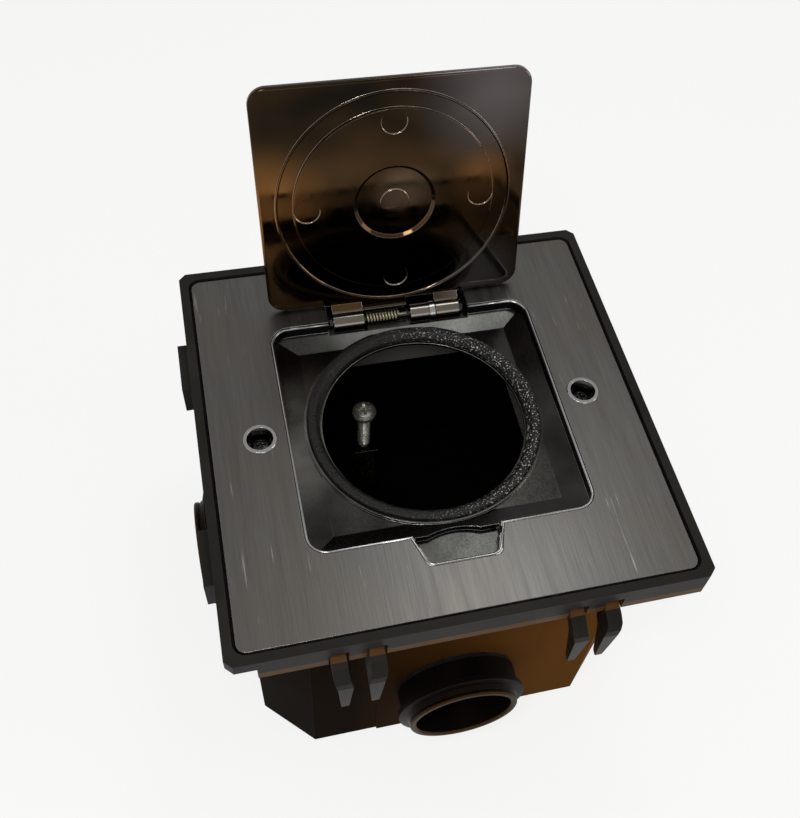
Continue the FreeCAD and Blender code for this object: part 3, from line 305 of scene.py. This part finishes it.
def trayChrome():  # frame casting: painted highlight on the lip, dark polished tray with a painted reflection on its left wall, satin well painted pale as painted light
    look = trayFinish
    material, shader = startMaterial("trayChrome", look)
    patch = noiseAt(material, look["patchScale"], 2.0)
    grain = noiseAt(material, look["grainScale"], 4.0)
    polish = blendColour(material, spread(material, patch, 0.0, 1.0), look["second"], look["colour"])
    # painted sheen on the left wall, a painted reflection, with less metal there
    leftWall = Vector((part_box("lid_frame")[0].x, 0.0, plateTop)) + Vector(look["hazyIn"])
    haze = nearPoint(material, leftWall, look["hazyReach"],
                     spread(material, patch, look["hazyLeast"], 1.0))
    hazed = over(material, haze, polish, look["hazy"])
    edge, mask = edgeLine(material, look["edge"])
    # painted highlight along the edges, broken up by the patches
    broken = times(material, mask, spread(material, patch, look["gleamLeast"], 1.0))
    lined = over(material, broken, hazed, look["gleam"])
    # painted highlight on the lip, the top half millimetre of the frame
    lip = reckon(material, "SUBTRACT", 1.0, below(material, look["lipDepth"], look["lipSoft"]))
    lipped = over(material, lip, lined, look["lip"])
    # the well is painted pale and less metallic: painted light on its shaded walls
    deep = below(material, look["wellTop"], look["wellSoft"])
    welled = over(material, deep, lipped, look["well"])
    # painted highlight on the hinge barrels, lighter near the pin's axis
    barrel = nearPin(material, look["barrelReach"], look["barrelSoft"])
    wire(material, over(material, barrel, welled, look["barrel"]), shader.inputs["Base Color"])
    unevenRough(material, shader, grain, look)
    dull = reckon(material, "MAXIMUM", deep, haze)
    wire(material, rangeOf(material, dull, 0.0, 1.0, look["metal"], look["dullMetal"]),
         shader.inputs["Metallic"])
    bumpFrom(material, shader, grain, look["grainStrength"], look["grainDepth"], edge)
    return material


smallMetal = {"edge": 0.00012, "roughSpan": (0.7, 1.4), "grainStrength": 0.2}  # shared by the next six


def platedMetal(name, finish):  # small turned or pressed metal pieces
    look = {**smallMetal, **finish}
    material, shader = startMaterial(name, look)
    grain = noiseAt(material, look["grainScale"], 4.0)
    tone = blendColour(material, grain, look["colour"], look["second"])
    edge, mask = edgeLine(material, look["edge"])
    # painted highlight along the edges
    wire(material, over(material, mask, tone, look["gleam"]), shader.inputs["Base Color"])
    unevenRough(material, shader, grain, look)
    bumpFrom(material, shader, grain, look["grainStrength"], look["grainDepth"], edge)
    return material


trimFinish = {"colour": (0.27, 0.267, 0.255), "second": (0.17, 0.168, 0.16), "metal": 1.0, "rough": 0.14,
              "grainScale": 900.0, "grainDepth": 0.00002, "gleam": (0.5, 0.49, 0.46)}
# bright and dark patches on the bead: painted highlights
beadFinish = {"colour": (0.42, 0.415, 0.40), "second": (0.012, 0.012, 0.0115), "metal": 1.0,
              "rough": 0.14, "grainScale": 45.0, "grainDepth": 0.0, "gleam": (0.5, 0.49, 0.46)}
zincFinish = {"colour": (0.60, 0.58, 0.53), "second": (0.36, 0.35, 0.31), "metal": 0.85, "rough": 0.30,
              "grainScale": 1400.0, "grainDepth": 0.00003, "gleam": (0.8, 0.78, 0.72)}
screwFinish = {"colour": (0.030, 0.029, 0.026), "second": (0.017, 0.0165, 0.015), "metal": 1.0,
               "rough": 0.24, "grainScale": 1400.0, "grainDepth": 0.00003, "gleam": (0.22, 0.215, 0.20)}
springFinish = {"colour": (0.17, 0.155, 0.105), "second": (0.11, 0.098, 0.066), "metal": 1.0,
                "rough": 0.2, "grainScale": 2600.0, "grainDepth": 0.00002, "gleam": (0.5, 0.45, 0.35)}
brassFinish = {"colour": (0.42, 0.30, 0.13), "second": (0.30, 0.20, 0.08), "metal": 1.0, "rough": 0.26,
               "grainScale": 1400.0, "grainDepth": 0.00003, "gleam": (0.7, 0.55, 0.3)}


rubberFinish = {"colour": (0.004, 0.004, 0.0037), "pale": (0.012, 0.0115, 0.010), "rough": 0.36,
                "roughSpan": (0.7, 1.5), "shine": 0.14, "grainScale": 1600.0, "grainDepth": 0.00025,
                "pebbleStrength": 0.5, "softStrength": 0.4,
                "speck": (0.55, 0.55, 0.51), "speckScale": 2000.0, "speckLow": 0.61, "speckHigh": 0.70,
                "speckDrop": 0.0075, "speckSoft": 0.0002, "speckLeft": -0.012, "speckRight": 0.026}


def grainedRubber():  # pebbled black rubber, with fine painted glints on the top of the seal's right half
    look = rubberFinish
    material, shader = startMaterial("grainedRubber", look)
    pebble = shade(material, "TexVoronoi")
    pebble.inputs["Scale"].default_value = look["grainScale"]
    wire(material, placeOf(material), pebble.inputs["Vector"])
    soft = noiseAt(material, look["grainScale"] / 3, 4.0)
    fine = noiseAt(material, look["speckScale"], 1.0)
    tone = blendColour(material, soft, look["colour"], look["pale"])
    # painted glints, only on top and towards the right
    specks = rangeOf(material, fine, look["speckLow"], look["speckHigh"])
    high = above(material, look["speckDrop"], look["speckSoft"])
    right = acrossX(material, look["speckLeft"], look["speckRight"])
    worn = times(material, times(material, specks, high), right)
    wire(material, over(material, worn, tone, look["speck"]), shader.inputs["Base Color"])
    first = bumpFrom(material, shader, pebble.outputs["Distance"], look["pebbleStrength"],
                     look["grainDepth"])
    bumpFrom(material, shader, soft, look["softStrength"], look["grainDepth"], first)
    unevenRough(material, shader, soft, look)
    return material


boxFinish = {"colour": (0.0065, 0.0035, 0.0018), "second": (0.011, 0.006, 0.0028), "rough": 0.50,
             "shine": 0.002, "shineTint": (1.0, 0.62, 0.30), "grainScale": 1800.0,
             "grainDepth": 0.00004, "flowScale": 24.0, "gleam": (0.13, 0.07, 0.03),
             "warm": (0.120, 0.048, 0.010), "warmLeft": -0.030, "warmRight": 0.030, "warmLeast": 0.65,
             "inside": (0.0018, 0.0016, 0.0014), "skin": 0.0022, "cornerCut": 0.014}
collarFinish = {"colour": (0.0105, 0.0098, 0.0088), "second": (0.019, 0.018, 0.016), "rough": 0.42,
                "shine": 0.06, "shineTint": (1.0, 0.84, 0.70), "grainScale": 2200.0,
                "grainDepth": 0.00005, "flowScale": 40.0, "gleam": (0.045, 0.044, 0.042),
                "band": (0.080, 0.038, 0.012), "bandFrom": 0.0061, "bandTo": 0.0092, "bandOut": 0.0035,
                "tip": (0.030, 0.018, 0.010), "tipFrom": 0.0225, "tipSoft": 0.004}
spoutFinish = {"colour": (0.0016, 0.0012, 0.0013), "second": (0.003, 0.002, 0.0018), "rough": 0.42,
               "shine": 0.05, "shineTint": (1.0, 0.66, 0.38), "grainScale": 1800.0,
               "grainDepth": 0.00003, "flowScale": 35.0, "gleam": (0.055, 0.034, 0.017),
               "mouth": (0.040, 0.022, 0.009), "mouthDeep": 0.0006}
moulding = {"edge": 0.00025, "roughSpan": (0.8, 1.25), "grainStrength": 0.25, "gleamLeast": 0.2,
            "flowStretch": (1.0, 1.0, 0.4)}  # shared by the box, the collar and the spouts


def insideBox(material, look):  # 1 on the hollow's faces, 0 on the outer faces and cut corners
    low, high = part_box("back_box")
    skin = Vector((look["skin"], look["skin"], look["skin"]))
    middle = (low + high) / 2
    offset = shade(material, "VectorMath", operation="SUBTRACT")
    offset.inputs[1].default_value = middle
    wire(material, placeOf(material), offset.inputs[0])
    size = shade(material, "VectorMath", operation="ABSOLUTE")
    wire(material, offset.outputs["Vector"], size.inputs[0])
    reach = shade(material, "VectorMath", operation="DOT_PRODUCT")
    reach.inputs[1].default_value = (1.0, 1.0, 0.0)
    wire(material, size.outputs["Vector"], reach.inputs[0])
    longest = high.x - middle.x + high.y - middle.y - look["cornerCut"] - look["skin"]
    short = reckon(material, "LESS_THAN", reach.outputs["Value"], longest)
    return times(material, withinBox(material, low + skin, high - skin), short)


def skirtBand(material, look):  # 1 on the lower band of the skirt, 0 on the hooks in front of it
    out = look["bandOut"]
    low = Vector((plateLow.x - out, plateLow.y - out, plateTop - look["bandTo"]))
    high = Vector((plateHigh.x + out, plateHigh.y + out, plateTop - look["bandFrom"]))
    return withinBox(material, low, high)


def spoutMouth(material, look):  # 1 on the end faces of the two spouts
    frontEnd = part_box("conduit_adapter_front")[0].y + look["mouthDeep"]
    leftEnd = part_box("conduit_adapter_left")[0].x + look["mouthDeep"]
    return reckon(material, "MAXIMUM",
                  reckon(material, "LESS_THAN", placeAlong(material, "Y"), frontEnd),
                  reckon(material, "LESS_THAN", placeAlong(material, "X"), leftEnd))


def mouldedPlastic(name, finish):  # black moulding with a fine spark-eroded grain and slow flow marks
    look = {**moulding, **finish}
    material, shader = startMaterial(name, look)
    grain = noiseAt(material, look["grainScale"], 3.0)
    flow = noiseAt(material, look["flowScale"], 3.0, look["flowStretch"])
    resin = blendColour(material, spread(material, flow, 0.0, 1.0), look["colour"], look["second"])
    if "warm" in look:  # the right half of the moulding is painted brown, a painted warm reflection, the left nearly black
        share = times(material, acrossX(material, look["warmLeft"], look["warmRight"]),
                      spread(material, flow, look["warmLeast"], 1.0))
        resin = over(material, share, resin, look["warm"])
    edge, mask = edgeLine(material, look["edge"])
    # painted highlight along the edges, broken up by the flow marks
    broken = times(material, mask, spread(material, flow, look["gleamLeast"], 1.0))
    lined = over(material, broken, resin, look["gleam"])
    if "band" in look:  # the skirt's lower band is painted brown, and so are the tips of its hooks: painted warm reflection
        lined = over(material, skirtBand(material, look), lined, look["band"])
        lined = over(material, below(material, look["tipFrom"], look["tipSoft"]), lined, look["tip"])
    if "mouth" in look:  # the end face of a spout is painted browner than its barrel: painted warm reflection
        lined = over(material, spoutMouth(material, look), lined, look["mouth"])
    if "inside" in look:  # inner faces are painted darker than the outer skin: painted shade in the hollow
        lined = over(material, insideBox(material, look), lined, look["inside"])
    wire(material, lined, shader.inputs["Base Color"])
    unevenRough(material, shader, flow, look)
    bumpFrom(material, shader, grain, look["grainStrength"], look["grainDepth"], edge)
    return material


finishes = {
    "plate": brushedPlate(),
    "mirror": darkMirror(),
    "tray": trayChrome(),
    "trim": platedMetal("brightTrim", trimFinish),
    "bead": platedMetal("rolledLip", beadFinish),
    "zinc": platedMetal("zincPlate", zincFinish),
    "screw": platedMetal("darkZinc", screwFinish),
    "spring": platedMetal("springWire", springFinish),
    "brass": platedMetal("turnedBrass", brassFinish),
    "rubber": grainedRubber(),
    "box": mouldedPlastic("boxMoulding", boxFinish),
    "collar": mouldedPlastic("collarMoulding", collarFinish),
    "spout": mouldedPlastic("spoutMoulding", spoutFinish),
}
wears = {  # the nodes that wear each finish
    "plate": ["face_plate", "lid_skin"],
    "mirror": ["lid"],
    "tray": ["lid_frame"],
    "trim": ["screw_cups", "hinge_washer"],
    "zinc": ["collar_screws", "plate_studs", "stud_washers", "stud_nuts", "earth_screw"],
    # the earth washer wears the dark zinc as painted shade
    "screw": ["plate_screws", "hinge_pin", "hinge_clip", "earth_washer"],
    "spring": ["torsion_spring"],
    "brass": ["plate_inserts", "earth_post"],
    "rubber": ["ring_seal", "plate_gasket", "adapter_washer_front", "adapter_washer_left"],
    "box": ["back_box"],
    "collar": ["mounting_collar"],
    "spout": ["conduit_adapter_front", "conduit_adapter_left", "lock_nut_front", "lock_nut_left"],
}
for finish, names in wears.items():
    for name in names:
        mesh = nodes[name].data
        mesh.materials.clear()
        mesh.materials.append(finishes[finish])
print("finishes on", sum(len(names) for names in wears.values()), "nodes")


def newPiece(name, mesh, finish, body):
    piece = bpy.data.objects.new(name, mesh)
    bpy.context.scene.collection.objects.link(piece)
    mesh.materials.append(finishes[finish])
    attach(piece, body)


def sweep(name, path, radius, sides):  # round bead along a line of points, closed at both ends
    build = bmesh.new()
    rings = []
    last = len(path) - 1
    for index, point in enumerate(path):
        along = (path[min(index + 1, last)] - path[max(index - 1, 0)]).normalized()
        side = along.cross(Vector((0.0, 0.0, 1.0))).normalized()
        rise = side.cross(along)
        rings.append([build.verts.new(point + radius * (side * math.cos(turn) + rise * math.sin(turn)))
                      for turn in (2 * math.pi * step / sides for step in range(sides))])
    for first, second in zip(rings, rings[1:]):
        for step in range(sides):
            other = (step + 1) % sides
            build.faces.new((first[step], first[other], second[other], second[step])).smooth = True
    build.faces.new(rings[0])
    build.faces.new(list(reversed(rings[-1])))
    bmesh.ops.recalc_face_normals(build, faces=build.faces)
    mesh = bpy.data.meshes.new(name)
    build.to_mesh(mesh)
    build.free()
    return mesh


def cornerArc(centre, radius, start, level, steps=10):  # quarter turn anticlockwise from a start angle
    turns = [math.radians(start + 90.0 * step / steps) for step in range(steps + 1)]
    return [Vector((centre[0] + radius * math.cos(turn), centre[1] + radius * math.sin(turn), level))
            for turn in turns]


bead = {"outward": 0.0008, "halfLong": 0.0371, "corner": 0.0054, "radius": 0.00042, "sides": 10,
        "down": 0.00040, "bayHalf": 0.0216, "notchMouth": 0.0124, "notchEnd": 0.0094,
        "notchLong": 0.0086, "notchRound": [(0.0006, 0.0017), (-0.0002, 0.0005), (-0.0016, 0.0)]}


def lipBead():  # rolled edge of the tray round the shut lid, left open at the hinge bay
    wide, long, corner = lidHigh.x + bead["outward"], bead["halfLong"], bead["corner"]
    level = plateTop - bead["down"]
    end = -long - bead["notchLong"]
    rounding = [Vector((bead["notchEnd"] + out, end + back, level)) for out, back in bead["notchRound"]]
    mirrored = [Vector((-point.x, point.y, level)) for point in rounding]
    path = [Vector((-bead["bayHalf"], long, level))]
    path += cornerArc((corner - wide, long - corner), corner, 90, level)
    path += cornerArc((corner - wide, corner - long), corner, 180, level)
    path += [Vector((-bead["notchMouth"], -long, level))]
    path += mirrored + rounding[::-1]
    path += [Vector((bead["notchMouth"], -long, level))]
    path += cornerArc((wide - corner, corner - long), corner, 270, level)
    path += cornerArc((wide - corner, long - corner), corner, 0, level)
    path += [Vector((bead["bayHalf"], long, level))]
    newPiece("lipBead", sweep("lipBead", path, bead["radius"], bead["sides"]), "bead",
             "box")


thread = {"pitch": 0.0007, "ridge": 0.00022, "radius": 0.0020, "head": 0.0026, "start": 0.8,
          "steps": 18, "sides": 6}


def earthThread():  # thread on the standing part of the earth screw
    low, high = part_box("earth_screw")
    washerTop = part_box("earth_washer")[1].z
    middle = (low + high) / 2
    turns = int((high.z - thread["head"] - washerTop) / thread["pitch"]) - 1
    path = []
    for step in range(turns * thread["steps"]):
        turn = 2 * math.pi * step / thread["steps"]
        rise = thread["pitch"] * (thread["start"] + step / thread["steps"])
        path.append(Vector((middle.x + thread["radius"] * math.cos(turn),
                            middle.y + thread["radius"] * math.sin(turn), washerTop + rise)))
    newPiece("earthThread", sweep("earthThread", path, thread["ridge"], thread["sides"]), "zinc",
             "box")


lipBead()
earthThread()
print("edge bead and thread made")


room = {"floorSize": 30.0, "floorDown": 0.0002, "seenShare": 0.80, "worldStrength": 0.42,
        "backWhite": (1.0, 1.0, 1.0), "worldColour": (1.0, 0.985, 0.96)}
floorFinish = {"colour": (0.88, 0.88, 0.87), "rough": 0.9, "shine": 0.1}


def seenDirect(owner):  # 1 for rays from the camera and for mirror reflections
    path = shade(owner, "LightPath")
    return reckon(owner, "MAXIMUM", path.outputs["Is Camera Ray"], path.outputs["Is Glossy Ray"])


def makeFloor():  # pale floor, whiter where it is seen, that keeps the object's shadow
    mesh = bpy.data.meshes.new("floor")
    half = room["floorSize"] / 2
    corners = [(-half, -half, 0), (half, -half, 0), (half, half, 0), (-half, half, 0)]
    mesh.from_pydata(corners, [], [(0, 1, 2, 3)])
    floor = bpy.data.objects.new("floor", mesh)
    bpy.context.scene.collection.objects.link(floor)
    floor.location.z = cadBox[0].z - room["floorDown"]
    material, shader = startMaterial("floorPaper", floorFinish)
    mesh.materials.append(material)
    white = shade(material, "Emission")
    white.inputs["Color"].default_value = (*room["backWhite"], 1.0)
    mix = shade(material, "MixShader")
    wire(material, times(material, seenDirect(material), room["seenShare"]), mix.inputs["Fac"])
    wire(material, shader.outputs["BSDF"], mix.inputs[1])
    wire(material, white.outputs["Emission"], mix.inputs[2])
    ending = material.node_tree.nodes["Material Output"]
    wire(material, mix.outputs["Shader"], ending.inputs["Surface"])


def makeSurround():  # soft light from all sides, seen as white
    world = bpy.data.worlds.new("surround")
    bpy.context.scene.world = world
    world.use_nodes = True
    ambient = world.node_tree.nodes["Background"]
    ambient.inputs["Color"].default_value = (*room["worldColour"], 1.0)
    ambient.inputs["Strength"].default_value = room["worldStrength"]
    seen = shade(world, "Background")
    seen.inputs["Color"].default_value = (*room["backWhite"], 1.0)
    pick = shade(world, "MixShader")
    wire(world, seenDirect(world), pick.inputs["Fac"])
    wire(world, ambient.outputs["Background"], pick.inputs[1])
    wire(world, seen.outputs["Background"], pick.inputs[2])
    wire(world, pick.outputs["Shader"], world.node_tree.nodes["World Output"].inputs["Surface"])


lamps = {
    "overhead": {"at": (0.14, 0.18, 0.68), "size": 0.15, "power": 0.62, "colour": (0.95, 0.98, 1.0)},
    "front": {"at": (0.10, -0.95, 0.40), "size": 0.35, "power": 0.7, "colour": (0.95, 0.98, 1.0)},
    "besideCamera": {"at": (-0.12, -0.20, 0.52), "size": 0.12, "power": 0.9,
                     "colour": (1.0, 0.98, 0.95)},
    "right": {"at": (0.75, -0.25, 0.30), "size": 0.30, "power": 1.2, "colour": (1.0, 0.90, 0.78)},
}


lampAim = {"down": 0.0092}  # the lamps point just under the middle of the plate


def addLamps():
    aim = Vector((0.0, 0.0, plateTop - lampAim["down"]))
    for name, lamp in lamps.items():
        light = bpy.data.lights.new(name, "AREA")
        light.size = lamp["size"]
        light.energy = lamp["power"]
        light.color = lamp["colour"]
        holder = bpy.data.objects.new(name, light)
        bpy.context.scene.collection.objects.link(holder)
        holder.location = lamp["at"]
        holder.rotation_euler = (aim - Vector(lamp["at"])).to_track_quat("-Z", "Y").to_euler()


cameraView = {"at": (-0.05023, -0.15591, 0.32571), "turn": (35.9352, -4.1986, -13.2052),
              "lens": 44.723, "film": 36.0, "shift": (-0.0490, -0.0163), "nearest": 0.01}


def addCamera():
    camera = bpy.data.cameras.new("view")
    camera.lens = cameraView["lens"]
    camera.sensor_width = cameraView["film"]
    camera.sensor_fit = "AUTO"
    camera.shift_x, camera.shift_y = cameraView["shift"]
    camera.clip_start = cameraView["nearest"]
    holder = bpy.data.objects.new("view", camera)
    bpy.context.scene.collection.objects.link(holder)
    holder.location = cameraView["at"]
    holder.rotation_euler = [math.radians(angle) for angle in cameraView["turn"]]
    bpy.context.scene.camera = holder


makeFloor()
makeSurround()
addLamps()
addCamera()
bpy.context.scene.view_settings.view_transform = "Standard"
print("room, lamps and camera placed")
